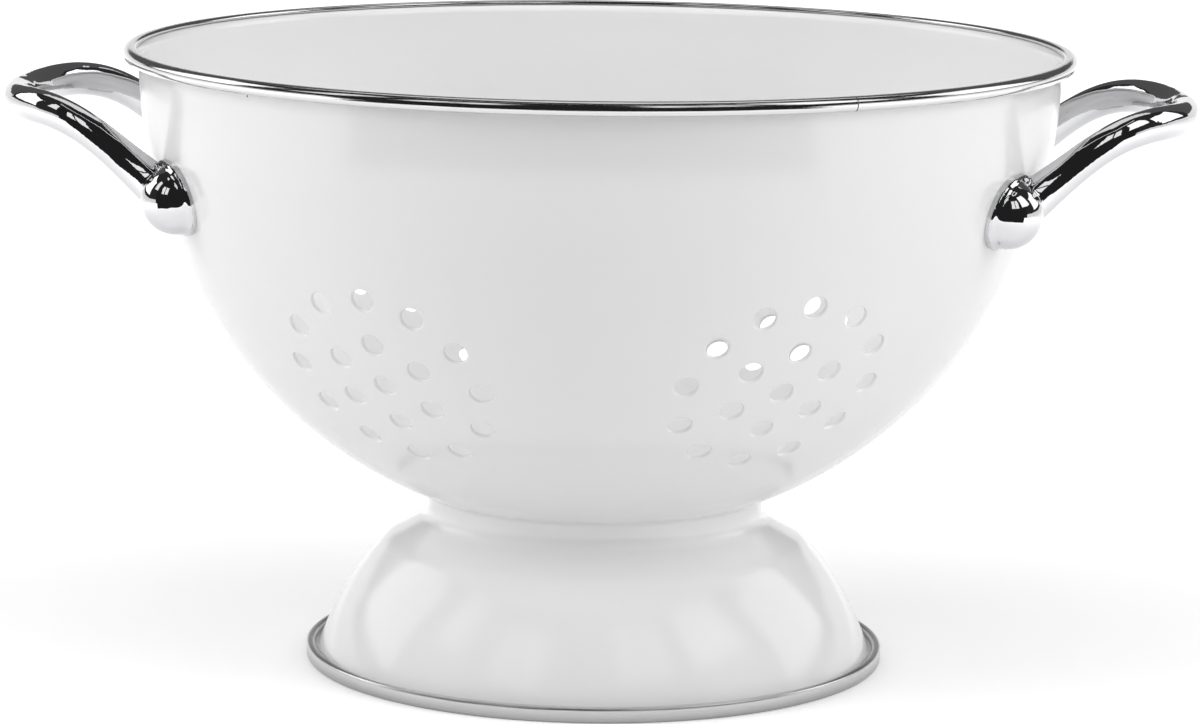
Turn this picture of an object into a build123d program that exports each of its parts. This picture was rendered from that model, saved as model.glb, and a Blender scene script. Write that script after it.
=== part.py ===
from build123d import *
import os
from math import asin, cos, degrees, radians, sin, sqrt, tan

# Colander: an enamelled steel bowl on a spun foot, with a rolled metal band round the rim and
# round the foot, and two cast bail handles held by screws from inside the bowl.
# Millimetres. The origin is on the floor under the middle of the bowl, +Z up, handles along X.

# Bowl, sizes of its outside
bowl_radius = 128.4           # spherical lower part
wall_arc_radius = 141.0       # flatter curve between the sphere and the lip
wall_arc_angle = 20.8         # degrees of wall that this flatter curve takes
bowl_wall = 1.2               # steel and enamel
floor_start_radius = 38.0     # where the sphere turns into the flat floor
floor_blend_radius = 20.0
lip_flare_radius = 1.0        # outside bend from the wall out into the rim band

# Drain holes, in rosettes of one, six and twelve
hole_radius = 3.2
rosette_pitch = 14.1          # from ring to ring
rosette_counts = (1, 6, 12)
rosette_azimuths = (30, 150, 210, 330)  # degrees from the front
rosette_drop = 35.0           # degrees below level that a rosette faces
rosette_twist = -4.0          # degrees that a rosette is turned on the wall

# Rim band, a strip rolled round the lip and butted
rim_band_width = 4.0
rim_band_height = 3.9
rim_band_gap = 0.3            # from the bowl's wall to the strip's inner edge
rim_corner_share = 0.45       # of the band's height
leg_corner_share = 0.8        # of the length of the strip's short inner leg
bead_corner_share = 0.42      # of the bead inside the band
band_sheet = 0.5
band_clearance = 0.2
seam_gap = 0.2
rim_seam_azimuth = 32.0       # degrees from the front
foot_seam_azimuth = 180.0

# Foot band, the same kind of strip, which the colander stands on
foot_band_radius = 82.4
foot_band_width = 2.5
foot_band_height = 4.4
foot_band_taper = 0.2         # the outer face leans in by this much at the floor
foot_band_corner = 0.9
foot_band_tread = 2.9         # how far the flat tread reaches in from the lower corner

# Foot, sizes of its outside, from its edge up to the bowl
foot_wall = 1.0
foot_flare_radius = 1.5
skirt_bottom_angle = 19.0     # degrees above level that the spherical skirt faces at its bottom
skirt_top_angle = 42.6        # and at its top
shoulder_radius = 12.0
shoulder_slope = 28.0         # degrees below level
slope_length = 8.8
collar_bend_radius = 5.0      # hollow bend from the slope into the collar
collar_length = 3.8           # straight part, up to the bowl

# Handles, one casting with two pads each
bail_stand = 34.4             # middle of the bail, out from the bowl's wall
bail_drop = 16.3              # middle of the bail, down from the rim
arm_height = 9.5
arm_thickness = 8.5
pad_drop = 38.5               # centre of each pad, down from the rim
pad_swing = 26.8              # degrees to each side of X
dome_radius = 9.5
pad_radius = 11.4
pad_tip_radius = 6.0
pad_tip_offset = 7.5          # the pad's outline runs out along the arm
pad_tip_angle = 40.0
flange_thickness = 1.6
flange_round = 0.8

# Where an arm's centre line bends to, as shares of the way from the pad to the middle of the bail
arm_shares = ((0.131, 0.24, -0.044), (0.538, 0.172, 0.929), (0.561, 0.195, 1.213), (1, 0.321, 1))
# Places along an arm, and the size of its section there, as shares
section_shares = (
    (0, 1.7), (0.1, 1.5), (0.22, 1.2), (0.36, 1.04), (0.52, 1), (0.68, 1), (0.84, 1.03), (1, 1.06),
)

# Screws and washers inside the bowl
screw_radius = 2.5
screw_bite = 6.5              # depth in the casting
thread_clearance = 0.05
hole_clearance = 0.25
blind_clearance = 1.0         # past the screw's end
head_radius = 4.5
head_height = 2.8
head_round = 1.2
recess_length = 5.0
recess_width = 1.0
recess_depth = 1.5
washer_radius = 6.0
washer_thickness = 1.0
washer_clearance = 0.15

overrun = 3.0                 # how far cutting bodies run past what they cut

# Foot, worked out from its edge up
foot_band_middle = foot_band_height / 2
hem_width = foot_band_width - foot_band_taper - 2 * (band_sheet + band_clearance)
hem_height = foot_band_height - 2 * (band_sheet + band_clearance)
hem_radius = foot_band_radius - foot_band_taper - band_sheet - band_clearance - hem_width / 2
flare_turn = 90 - skirt_bottom_angle
skirt_end_radius = foot_band_radius - foot_band_width - foot_flare_radius * sin(radians(flare_turn))
skirt_end_height = (foot_band_middle + foot_wall / 2
                    + foot_flare_radius * (1 - cos(radians(flare_turn))))
skirt_radius = skirt_end_radius / cos(radians(skirt_bottom_angle))
skirt_height = skirt_end_height - skirt_radius * sin(radians(skirt_bottom_angle))
collar_bend_turn = 90 - shoulder_slope
collar_radius = (skirt_radius * cos(radians(skirt_top_angle))
                 - shoulder_radius * (cos(radians(skirt_top_angle)) - cos(radians(collar_bend_turn)))
                 - slope_length * cos(radians(shoulder_slope))
                 - collar_bend_radius * (1 - cos(radians(collar_bend_turn))))
collar_bottom = (skirt_height + skirt_radius * sin(radians(skirt_top_angle))
                 + shoulder_radius * (sin(radians(collar_bend_turn)) - sin(radians(skirt_top_angle)))
                 + slope_length * sin(radians(shoulder_slope))
                 + collar_bend_radius * sin(radians(collar_bend_turn)))

# Bowl, worked out from the collar that carries it
sphere_height = collar_bottom + collar_length + sqrt(bowl_radius**2 - collar_radius**2)
lip_height = sphere_height + (wall_arc_radius - bowl_radius) * sin(radians(wall_arc_angle))
lip_radius = (bowl_radius * cos(radians(wall_arc_angle))
              + wall_arc_radius * (1 - cos(radians(wall_arc_angle))))
floor_start_angle = degrees(asin(floor_start_radius / bowl_radius))
sphere_angle = 90 - wall_arc_angle - floor_start_angle
floor_height = (sphere_height - bowl_radius * cos(radians(floor_start_angle))
                - floor_blend_radius * (1 - cos(radians(floor_start_angle))))
rim_middle = lip_height + lip_flare_radius + bowl_wall / 2
rim_top = rim_middle + rim_band_height / 2
rim_bottom = rim_middle - rim_band_height / 2
rim_band_inside = lip_radius + rim_band_gap
rim_band_radius = rim_band_inside + rim_band_width
bead_width = rim_band_width - 2 * (band_sheet + band_clearance)
bead_height = rim_band_height - 2 * (band_sheet + band_clearance)
bead_radius = rim_band_inside + rim_band_width / 2


def bowl_line(inset):
    """Draw the bowl's profile from the lip to the axis, inset from its outside."""
    angle = radians(wall_arc_angle)
    radius = wall_arc_radius - inset
    arm = radius * tan(angle / 4) * 4 / 3
    lip = Vector(lip_radius - inset, lip_height)
    end = lip - Vector(radius * (1 - cos(angle)), radius * sin(angle))
    wall = Bezier(lip, lip - Vector(0, arm), end + Vector(sin(angle), cos(angle)) * arm, end)
    sphere = JernArc(wall @ 1, wall % 1, bowl_radius - inset, -sphere_angle)
    blend = JernArc(sphere @ 1, sphere % 1, floor_blend_radius - inset, -floor_start_angle)
    Line(blend @ 1, (0, (blend @ 1).Y))


def wall_plane(height, angle):
    """Plane on the outside of the bowl's wall above the sphere, facing out, angle from +X."""
    lean = asin((lip_height - height) / wall_arc_radius)
    radius = lip_radius - wall_arc_radius * (1 - cos(lean))
    turn = radians(angle)
    return Plane(
        origin=(radius * cos(turn), radius * sin(turn), height),
        x_dir=(-sin(turn), cos(turn), 0),
        z_dir=(cos(lean) * cos(turn), cos(lean) * sin(turn), -sin(lean)),
    )


def rosette_plane(azimuth):
    """Plane on the outside of the sphere where a rosette has its middle hole."""
    turn, drop = radians(azimuth), radians(rosette_drop)
    facing = Vector(sin(turn) * cos(drop), -cos(turn) * cos(drop), -sin(drop))
    middle = Vector(0, 0, sphere_height) + facing * bowl_radius
    return Plane(origin=middle, x_dir=(cos(turn), sin(turn), 0), z_dir=facing)


def strip_line(corners, radii):
    """Draw straight runs between corners, each corner bent at its radius."""
    place = Vector(*corners[0])
    for corner, after, radius in zip(corners[1:-1], corners[2:], radii):
        corner = Vector(*corner)
        way_in = (corner - place).normalized()
        way_out = (Vector(*after) - corner).normalized()
        turn = radians(way_in.get_angle(way_out))
        start = corner - way_in * radius * tan(turn / 2)
        end = corner + way_out * radius * tan(turn / 2)
        arm = radius * tan(turn / 4) * 4 / 3
        Line(place, start)
        Bezier(start, start + way_in * arm, end - way_out * arm, end)
        place = end
    Line(place, corners[-1])


def finish(part, name):
    """Name a finished piece and write it."""
    part.label = name
    export_step(part, f"parts/{name}.step")


os.makedirs("parts", exist_ok=True)
pad_planes = {
    f"{side}_{end}": wall_plane(rim_top - pad_drop, middle + swing)
    for side, middle, front in (("right", 0, -pad_swing), ("left", 180, pad_swing))
    for end, swing in (("front", front), ("back", -front))
}
rosette_planes = [rosette_plane(azimuth) for azimuth in rosette_azimuths]
rosette_planes.append(Plane(origin=(0, 0, floor_height), x_dir=(1, 0, 0), z_dir=(0, 0, -1)))
rosette_reach = rosette_pitch * (len(rosette_counts) - 1) + hole_radius
rosette_sag = bowl_radius - sqrt(bowl_radius**2 - rosette_reach**2)
rosette_depth = 2 * (rosette_sag + bowl_wall + overrun)

# Outside of the bowl as a full body, which the foot and the pads are fitted to
with BuildPart() as bowl_body:
    with BuildSketch(Plane.XZ):
        with BuildLine():
            bowl_line(0)
            Polyline((0, floor_height), (0, lip_height), (lip_radius, lip_height))
        make_face()
    revolve(axis=Axis.Z)

# Bowl, with its lip turned out into a bead that the rim band is rolled over
with BuildPart() as bowl:
    with BuildSketch(Plane.XZ):
        with BuildLine():
            for inset in (0, bowl_wall):
                bowl_line(inset)
                flare = JernArc((lip_radius - inset, lip_height), (0, 1), lip_flare_radius + inset, -90)
                Line(flare @ 1, (bead_radius, (flare @ 1).Y))
            Line((0, floor_height), (0, floor_height + bowl_wall))
            Line(
                (bead_radius, rim_middle - bowl_wall / 2),
                (bead_radius, rim_middle + bowl_wall / 2),
            )
        make_face()
        with Locations((bead_radius, rim_middle)):
            RectangleRounded(bead_width, bead_height, bead_corner_share * min(bead_width, bead_height))
    revolve(axis=Axis.Z)
    for ring, count in enumerate(rosette_counts):
        with Locations(*rosette_planes):
            with PolarLocations(ring * rosette_pitch, count, start_angle=90 + rosette_twist):
                Cylinder(hole_radius, rosette_depth, mode=Mode.SUBTRACT)
    with Locations(*pad_planes.values()):
        Cylinder(screw_radius + hole_clearance, 2 * (bowl_wall + overrun), mode=Mode.SUBTRACT)
finish(bowl.part, "bowl")

# Rim band, a strip bent over the bead, with a butt seam
rim_leg = rim_band_height / 2 - bowl_wall / 2 - band_clearance
rim_leg_corner = leg_corner_share * rim_leg
rim_corner = rim_corner_share * min(rim_band_height, rim_band_width)
half_turn = 180 - degrees(seam_gap / 2 / rim_band_radius)
with BuildPart() as rim_band:
    with BuildSketch(Plane.XZ) as rim_strip:
        with BuildLine():
            for inset in (0, band_sheet):
                strip_line([
                    (rim_band_inside + inset, rim_top - rim_leg),
                    (rim_band_inside + inset, rim_top - inset),
                    (rim_band_radius - inset, rim_top - inset),
                    (rim_band_radius - inset, rim_bottom + inset),
                    (lip_radius + band_clearance, rim_bottom + inset),
                ], [rim_leg_corner - inset, rim_corner - inset, rim_corner - inset])
            Line((rim_band_inside, rim_top - rim_leg), (rim_band_inside + band_sheet, rim_top - rim_leg))
            Line(
                (lip_radius + band_clearance, rim_bottom),
                (lip_radius + band_clearance, rim_bottom + band_sheet),
            )
        make_face()
    for turn in (half_turn, -half_turn):
        revolve(rim_strip.sketch, axis=Axis.Z, revolution_arc=turn, clean=False)
rim_band.part.locate(Rotation(0, 0, rim_seam_azimuth + 90))
finish(rim_band.part, "rim_band")

# Foot: collar, hollow bend, shoulder, skirt, and an edge turned out and hemmed for its band
with BuildPart() as foot:
    with BuildSketch(Plane.XZ):
        with BuildLine():
            collar_top = collar_bottom + collar_length + overrun
            collar = Line((collar_radius, collar_top), (collar_radius, collar_bottom))
            bend = JernArc(collar @ 1, collar % 1, collar_bend_radius, collar_bend_turn)
            slope_way = Vector(cos(radians(shoulder_slope)), -sin(radians(shoulder_slope)))
            slope = Line(bend @ 1, bend @ 1 + slope_way * slope_length)
            shoulder = JernArc(slope @ 1, slope % 1, shoulder_radius, skirt_top_angle - collar_bend_turn)
            skirt_turn = skirt_bottom_angle - skirt_top_angle
            skirt = JernArc(shoulder @ 1, shoulder % 1, skirt_radius, skirt_turn)
            flare = JernArc(skirt @ 1, skirt % 1, foot_flare_radius, flare_turn)
            Line(flare @ 1, (hem_radius, foot_band_middle + foot_wall / 2))
            offset(amount=foot_wall, side=Side.RIGHT)
        make_face()
        with Locations((hem_radius, foot_band_middle)):
            RectangleRounded(hem_width, hem_height, bead_corner_share * min(hem_width, hem_height))
    revolve(axis=Axis.Z)
    add(bowl_body.part, mode=Mode.SUBTRACT)
finish(foot.part, "foot")

# Foot band, the same kind of strip, which the colander stands on
foot_band_inside = foot_band_radius - foot_band_width
foot_leg_end = foot_band_middle + foot_wall / 2 + band_clearance
foot_lean = foot_band_taper / foot_band_height
foot_tread_end = foot_band_radius - foot_band_taper - foot_band_corner - foot_band_tread
half_turn = 180 - degrees(seam_gap / 2 / foot_band_radius)
with BuildPart() as foot_band:
    with BuildSketch(Plane.XZ) as foot_strip:
        with BuildLine():
            for inset in (0, band_sheet):
                strip_line([
                    (foot_band_inside + inset, foot_leg_end),
                    (foot_band_inside + inset, foot_band_height - inset),
                    (foot_band_radius - inset - foot_lean * inset, foot_band_height - inset),
                    (foot_band_radius - inset - foot_lean * (foot_band_height - inset), inset),
                    (foot_tread_end, inset),
                ], [foot_band_corner - inset] * 3)
            Line((foot_band_inside, foot_leg_end), (foot_band_inside + band_sheet, foot_leg_end))
            Line((foot_tread_end, 0), (foot_tread_end, band_sheet))
        make_face()
    for turn in (half_turn, -half_turn):
        revolve(foot_strip.sketch, axis=Axis.Z, revolution_arc=turn, clean=False)
foot_band.part.locate(Rotation(0, 0, foot_seam_azimuth + 90))
finish(foot_band.part, "foot_band")

# Right handle: two pads on the wall, each with a dome, and one bail between them
front_pad = pad_planes["right_front"]
bail_middle = Vector(lip_radius + bail_stand, 0, rim_top - bail_drop)
way = bail_middle - front_pad.origin
arm_points = [front_pad.origin + Vector(way.X * x, way.Y * y, way.Z * z) for x, y, z in arm_shares]
pad_tip_side = pad_tip_offset * cos(radians(pad_tip_angle))
pad_tip_rise = pad_tip_offset * sin(radians(pad_tip_angle))
blind_depth = screw_bite + blind_clearance
bail_sections = [(place, share, 1) for place, share in section_shares]
bail_sections += [(place, share, -1) for place, share in section_shares[-2::-1]]
with BuildLine() as arm_line:
    Bezier(front_pad.origin, *arm_points, bail_middle)
with BuildPart() as right_handle:
    for pad, side in ((front_pad, 1), (pad_planes["right_back"], -1)):
        with BuildSketch(pad.offset(-overrun)):
            Circle(pad_radius)
            with Locations((side * pad_tip_side, pad_tip_rise)):
                Circle(pad_tip_radius)
            make_hull()
        extrude(amount=overrun + flange_thickness)
        flange_top = right_handle.faces().sort_by(Axis(pad.origin, pad.z_dir))[-1]
        fillet(flange_top.edges(), flange_round)
        with Locations(pad):
            Sphere(dome_radius)
    for place, share, side in bail_sections:
        spot, along = arm_line.line @ place, arm_line.line % place
        spot = Vector(spot.X, side * spot.Y, spot.Z)
        along = Vector(side * along.X, along.Y, side * along.Z)
        with BuildSketch(Plane(origin=spot, x_dir=along.cross(Vector(0, 0, 1)), z_dir=along)):
            Ellipse(arm_thickness / 2 * share, arm_height / 2 * share)
    loft()
    add(bowl_body.part, mode=Mode.SUBTRACT)
    for pad in (front_pad, pad_planes["right_back"]):
        with BuildSketch(pad.offset(blind_depth)):
            Circle(screw_radius + thread_clearance)
        extrude(amount=-blind_depth - overrun, mode=Mode.SUBTRACT)
finish(right_handle.part, "right_handle")

# Left handle, the right one mirrored
with BuildPart() as left_handle:
    mirror(right_handle.part, about=Plane.YZ)
finish(left_handle.part, "left_handle")

# Screws and washers. A flat washer touches the hollow wall at its edge.
hollow_radius = min(lip_radius, wall_arc_radius) - bowl_wall
washer_sag = hollow_radius - sqrt(hollow_radius**2 - washer_radius**2)
for place, plane in pad_planes.items():
    washer_seat = plane.offset(-bowl_wall - washer_sag)
    with BuildPart() as washer:
        with BuildSketch(washer_seat):
            Circle(washer_radius)
            Circle(screw_radius + washer_clearance, mode=Mode.SUBTRACT)
        extrude(amount=-washer_thickness)
    finish(washer.part, f"{place}_washer")

    head_seat = washer_seat.offset(-washer_thickness)
    with BuildPart() as screw:
        with BuildSketch(head_seat):
            Circle(head_radius)
        extrude(amount=-head_height)
        crown = screw.faces().sort_by(Axis(head_seat.origin, head_seat.z_dir))[0]
        fillet(crown.edges(), head_round)
        with BuildSketch(head_seat.offset(-head_height)):
            Rectangle(recess_length, recess_width)
            Rectangle(recess_width, recess_length)
        extrude(amount=recess_depth, mode=Mode.SUBTRACT)
        with BuildSketch(head_seat):
            Circle(screw_radius)
        extrude(amount=washer_thickness + washer_sag + bowl_wall + screw_bite)
    finish(screw.part, f"{place}_screw")
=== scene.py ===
import math

import bpy
from mathutils import Euler, Matrix, Vector
from mathutils.bvhtree import BVHTree


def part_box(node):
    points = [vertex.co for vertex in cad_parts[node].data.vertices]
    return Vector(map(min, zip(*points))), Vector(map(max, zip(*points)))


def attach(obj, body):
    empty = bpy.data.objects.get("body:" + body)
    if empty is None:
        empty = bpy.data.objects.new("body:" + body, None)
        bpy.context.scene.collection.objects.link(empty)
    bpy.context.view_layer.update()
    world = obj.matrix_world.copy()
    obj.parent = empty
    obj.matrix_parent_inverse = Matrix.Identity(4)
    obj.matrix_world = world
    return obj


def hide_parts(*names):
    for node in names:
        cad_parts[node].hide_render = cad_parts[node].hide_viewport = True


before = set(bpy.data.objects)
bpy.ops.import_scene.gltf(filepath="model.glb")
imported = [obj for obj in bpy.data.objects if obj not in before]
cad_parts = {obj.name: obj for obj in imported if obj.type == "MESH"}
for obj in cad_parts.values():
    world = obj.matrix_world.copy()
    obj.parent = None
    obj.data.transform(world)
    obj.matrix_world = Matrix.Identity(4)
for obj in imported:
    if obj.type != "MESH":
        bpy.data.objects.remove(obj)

bl_info = {
    "name": "Enamel Colander",
    "version": (1, 0, 0),
    "blender": (4, 5, 0),
    "location": "3D View > Sidebar > Colander",
    "description": "Models an enamelled colander with banded rim and foot and two cast handles",
    "category": "Add Mesh",
}

MERGE_DISTANCE = 1e-6
SMOOTH_ANGLE = math.radians(40)
RIM_LOW, RIM_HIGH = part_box("rim_band")
FOOT_LOW, FOOT_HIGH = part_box("foot_band")

# Drain holes: degrees from the front, and how many holes each ring of a rosette has
ROSETTE_AZIMUTHS = (30, 150, 210, 330)
ROSETTE_RINGS = (1, 6, 12)
# How far round a hole's edge the enamel is rounded
EDGE_REACH = math.radians(70)

# Roundings as shares of the half height, half width or leg that they are cut from
BEAD_ROUNDNESS = 0.8
HEM_ROUNDNESS = 0.84
LEG_ROUNDNESS = 0.8
WELD_HOLLOW = 0.65
# How near to the uncut shell a point has to be to take the shell's normal
SKIN_REACH = 5e-6
# Share of the foot band's height below which painted shade darkens its colour towards the floor
PAINTED_SHADE_SHARE = 0.85
# Shares of a strip's roughness between which its lines vary
WEAR_SPREAD = (0.7, 1.3)

# Where the bail's curve bends to, as shares of the way from a pad to the middle, and how thick it gets
BEND_SHARES = ((0.131, 0.24, -0.044), (0.538, 0.172, 0.929), (0.561, 0.195, 1.213), (1, 0.321, 1))
SWELL_SHARES = (1.55, 1.2, 0.45, 1.35, 0.88, 1.06)
DOME_FILLET_SHARE = 0.12
SOFTEN_PASSES = 14

# Soft boxes: name, place, width and height, and power in watts
LAMP_TARGET = (0, 0, 0.1)
SOFT_BOXES = (
    ("left_box", (-1.5, -0.5, 0.9), (1.0, 1.2), 13.5),
    ("right_box", (1.5, -0.6, 0.9), (1.0, 1.2), 13.5),
    ("top_box", (0, -0.2, 1.6), (1.4, 0.8), 7),
)
WORLD_LIGHT = 0.345
# White that the floor adds near the colander and away from it, and the distances of the two
FLOOR_GLOW = (0.3, 0.8)
FLOOR_GLOW_REACH = (0.2, 0.7)
FLOOR_SIZE = 12

# Studio cards round the point at this height, for the chrome: black ones, and white panels in front of
# them. Each has a name, azimuths from the front, elevations, a distance and a tone.
CARD_LEVEL = 0.15
CARD_FLOOR_GAP = 0.002
CARD_STEPS = 16
CARDS = (
    ("front_dark", (-62, 62), (-3, 90), 2.20, 0.02),
    ("front_low", (-56, 52), (-15, -2), 2.15, 0.02),
    ("left_dark", (-135, -62), (5, 90), 2.20, 0.03),
    ("right_dark", (62, 135), (5, 90), 2.20, 0.03),
    ("back_dark", (134, 226), (8, 48), 2.20, 0.10),
    ("right_panel", (50, 80), (28, 58), 2.0, 1.6),
    ("right_back_panel", (92, 128), (10, 40), 2.0, 1.8),
    ("left_panel", (-80, -64), (28, 52), 2.0, 1.2),
    ("left_back_panel", (-130, -92), (10, 40), 2.0, 1.8),
    ("pane_a", (-46, -36), (24, 46), 2.1, 1.2),
    ("pane_b", (-33, -22), (24, 46), 2.1, 1.2),
    ("pane_c", (14, 26), (28, 52), 2.1, 1.2),
    ("pane_d", (29, 40), (28, 52), 2.1, 1.2),
    ("tube", (-90, 90), (66, 68), 2.1, 1.2),
)

CAMERA_PLACE = (0.0504, -1.3122, 0.3162)
CAMERA_TURN = (math.radians(80.008), 0, math.radians(2.16))
CAMERA_ROLL = 0.0121
CAMERA_LENS = 140.75
SENSOR_WIDTH = 36
CLIP_END = 50


def linear(hex_colour):
    """Turn an sRGB hex colour into linear RGBA."""
    shares = [int(hex_colour[i:i + 2], 16) / 255 for i in (0, 2, 4)]
    return [s / 12.92 if s <= 0.04045 else ((s + 0.055) / 1.055) ** 2.4 for s in shares] + [1]


def length(name, description, default):
    """Give the property for a size in metres."""
    return bpy.props.FloatProperty(
        name=name, description=description, default=default, min=0, precision=5, unit="LENGTH")


def turn(name, description, degrees):
    """Give the property for an angle."""
    return bpy.props.FloatProperty(
        name=name, description=description, default=math.radians(degrees), subtype="ANGLE")


def colour(name, description, hex_colour):
    """Give the property for a finish's colour."""
    return bpy.props.FloatVectorProperty(
        name=name, description=description, default=linear(hex_colour), size=4, min=0, max=1, subtype="COLOR")


class BowlSizes(bpy.types.PropertyGroup):
    """Outside of the pressed bowl and its drain holes"""
    sphere_radius: length("Sphere radius", "Radius of the bowl's round lower part", 0.1284)
    wall_radius: length("Wall radius", "Radius of the flatter curve under the lip", 0.141)
    wall_angle: turn("Wall angle", "How much of the wall takes the flatter curve", 20.8)
    wall: length("Wall", "Thickness of steel and enamel", 0.0012)
    floor_start: length("Floor start", "Radius at which the sphere turns into the floor", 0.038)
    floor_blend: length("Floor blend", "Radius of the bend into the flat floor", 0.02)
    flare: length("Flare", "Outside bend from the wall into the rim band", 0.001)
    hole_radius: length("Hole radius", "Radius of a drain hole", 0.0032)
    hole_edge: length("Hole edge", "Rounding of the enamel at a hole's edge", 0.00055)
    pitch: length("Pitch", "Distance from ring to ring in a rosette", 0.0141)
    drop: turn("Drop", "How far below level a rosette faces", 35)
    twist: turn("Twist", "How far a rosette is turned on the wall", -4)


class BandSizes(bpy.types.PropertyGroup):
    """Strips rolled round the lip and the foot"""
    sheet: length("Sheet", "Thickness of the strip", 0.0005)
    gap: length("Gap", "Room between a strip and what it is rolled round", 0.0002)
    seam: length("Seam", "Width of the butt seam", 0.0003)
    rim_width: length("Rim width", "Width of the rim band", 0.004)
    rim_stand: length("Rim stand", "From the bowl's wall to the rim band's inner edge", 0.0003)
    rim_corner: length("Rim corner", "Outer rounding of the rim band", 0.0018)
    rim_seam_azimuth: turn("Rim seam", "Place of the rim seam from the front", 32)
    foot_width: length("Foot width", "Width of the foot band", 0.0025)
    foot_taper: length("Foot taper", "How far the foot band leans in at the floor", 0.0002)
    foot_corner: length("Foot corner", "Outer rounding of the foot band", 0.0009)
    foot_tread: length("Foot tread", "Flat part that the foot stands on", 0.0029)
    foot_seam_azimuth: turn("Foot seam", "Place of the foot seam from the front", 180)


class FootSizes(bpy.types.PropertyGroup):
    """Outside of the spun foot"""
    wall: length("Wall", "Thickness of steel and enamel", 0.001)
    flare: length("Flare", "Bend out into the foot band", 0.0015)
    skirt_bottom: turn("Skirt bottom", "How far above level the skirt faces at its bottom", 19)
    skirt_top: turn("Skirt top", "How far above level the skirt faces at its top", 42.6)
    shoulder: length("Shoulder", "Radius of the shoulder", 0.012)
    slope_angle: turn("Slope angle", "Fall of the slope above the shoulder", 28)
    slope: length("Slope", "Length of that slope", 0.0088)
    bend: length("Bend", "Radius of the hollow bend under the collar", 0.005)
    weld: length("Weld", "Enamel fillet between the collar and the bowl", 0.0009)


class HandleSizes(bpy.types.PropertyGroup):
    """Cast handles, each with a bail and two pads"""
    stand: length("Stand", "Middle of the bail, out from the bowl's wall", 0.0344)
    drop: length("Drop", "Middle of the bail, down from the rim", 0.0163)
    arm_height: length("Arm height", "Height of the bail's section", 0.0096)
    arm_thickness: length("Arm thickness", "Thickness of the bail's section", 0.0085)
    pad_drop: length("Pad drop", "Centre of a pad, down from the rim", 0.0385)
    pad_swing: turn("Pad swing", "Place of a pad to each side", 26.8)
    dome: length("Dome", "Radius of the dome over the screw", 0.0094)
    dome_lift: length("Dome lift", "Centre of the dome, out from the bowl's wall", 0.0013)
    pad: length("Pad", "Radius of a pad", 0.0104)
    pad_rise: length("Pad rise", "How far the pad's dome and plate sit above the screw's line", 0.001)
    pad_tip: length("Pad tip", "Radius of the pad's end under the arm", 0.006)
    pad_tip_offset: length("Tip offset", "How far that end runs out", 0.0072)
    pad_tip_angle: turn("Tip angle", "Direction in which it runs out", 40)
    flange: length("Flange", "Thickness of a pad", 0.0016)
    flange_round: length("Flange round", "Rounding of a pad's edge", 0.0008)
    grain: length("Grain", "Mesh size in which the casting is blended", 0.00038)
    bore: length("Bore", "Radius of the screw's hole", 0.00255)
    bore_depth: length("Bore depth", "Depth of the screw's hole", 0.0075)


class Finishes(bpy.types.PropertyGroup):
    """Colours of the finishes"""
    enamel: colour("Enamel", "Fired white enamel", "F0F0F0")
    pinhole: colour("Pinhole", "Bare steel in an enamel pinhole", "55504A")
    stainless: colour("Stainless", "Rolled stainless steel strip", "D2D2D2")
    # Painted shade: a darker steel colour for the foot strip's lower face, standing in for the shaded floor
    # that it reflects
    painted_shade_steel: colour("Painted shade steel", "Painted shade on the foot's strip towards the floor", "9A9A9B")
    chrome: colour("Chrome", "Bright chrome plate", "D2D2D4")
    fastener: colour("Fastener", "Plain stainless screws and washers", "B9B8B4")
    floor: colour("Floor", "Matt white floor", "F4F4F4")


def add_node(tree, kind, inputs, **settings):
    """Add a node, with its settings and with values or links for its inputs."""
    made = tree.nodes.new(kind)
    for key, value in settings.items():
        setattr(made, key, value)
    for key, value in inputs.items():
        if isinstance(value, bpy.types.NodeSocket):
            tree.links.new(value, made.inputs[key])
        else:
            made.inputs[key].default_value = value
    return made


def new_material(name, **shader_values):
    """Start a material with a Principled shader that has these values."""
    material = bpy.data.materials.new(name)
    material.use_nodes = True
    shader = material.node_tree.nodes["Principled BSDF"]
    for key, value in shader_values.items():
        shader.inputs[key.replace("_", " ").title().replace("Ior", "IOR")].default_value = value
    return material, material.node_tree, shader


def fired_enamel(colours):
    """Porcelain enamel, sprayed and fired: glassy, faintly rippled, with a few pinholes."""
    material, tree, shader = new_material("fired_enamel", roughness=0.15, ior=1.5)
    place = add_node(tree, "ShaderNodeTexCoord", {}).outputs["Object"]
    # Orange peel with ripples about 4 mm across, and a pool of thicker glaze every 60 mm
    ripple = add_node(tree, "ShaderNodeTexNoise", {"Vector": place, "Scale": 240, "Detail": 1.5})
    pool = add_node(tree, "ShaderNodeTexNoise", {"Vector": place, "Scale": 17, "Detail": 2})
    ripples = add_node(tree, "ShaderNodeBump", {
        "Height": ripple.outputs["Fac"], "Strength": 0.05, "Distance": 0.0004})
    pools = add_node(tree, "ShaderNodeBump", {
        "Height": pool.outputs["Fac"], "Strength": 0.25, "Distance": 0.0006,
        "Normal": ripples.outputs["Normal"]})
    # Pinholes about 0.6 mm across, in cells of 22 mm
    cell = add_node(tree, "ShaderNodeTexVoronoi", {"Vector": place, "Scale": 45}, feature="F1")
    pinhole = add_node(tree, "ShaderNodeMapRange", {
        "Value": cell.outputs["Distance"], "From Min": 0.010, "From Max": 0.016, "To Min": 1, "To Max": 0})
    tone = add_node(tree, "ShaderNodeMix", {
        "Factor": pinhole.outputs["Result"], "A": colours.enamel, "B": colours.pinhole}, data_type="RGBA")
    tree.links.new(tone.outputs["Result"], shader.inputs["Base Color"])
    tree.links.new(pools.outputs["Normal"], shader.inputs["Normal"])
    return material


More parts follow.
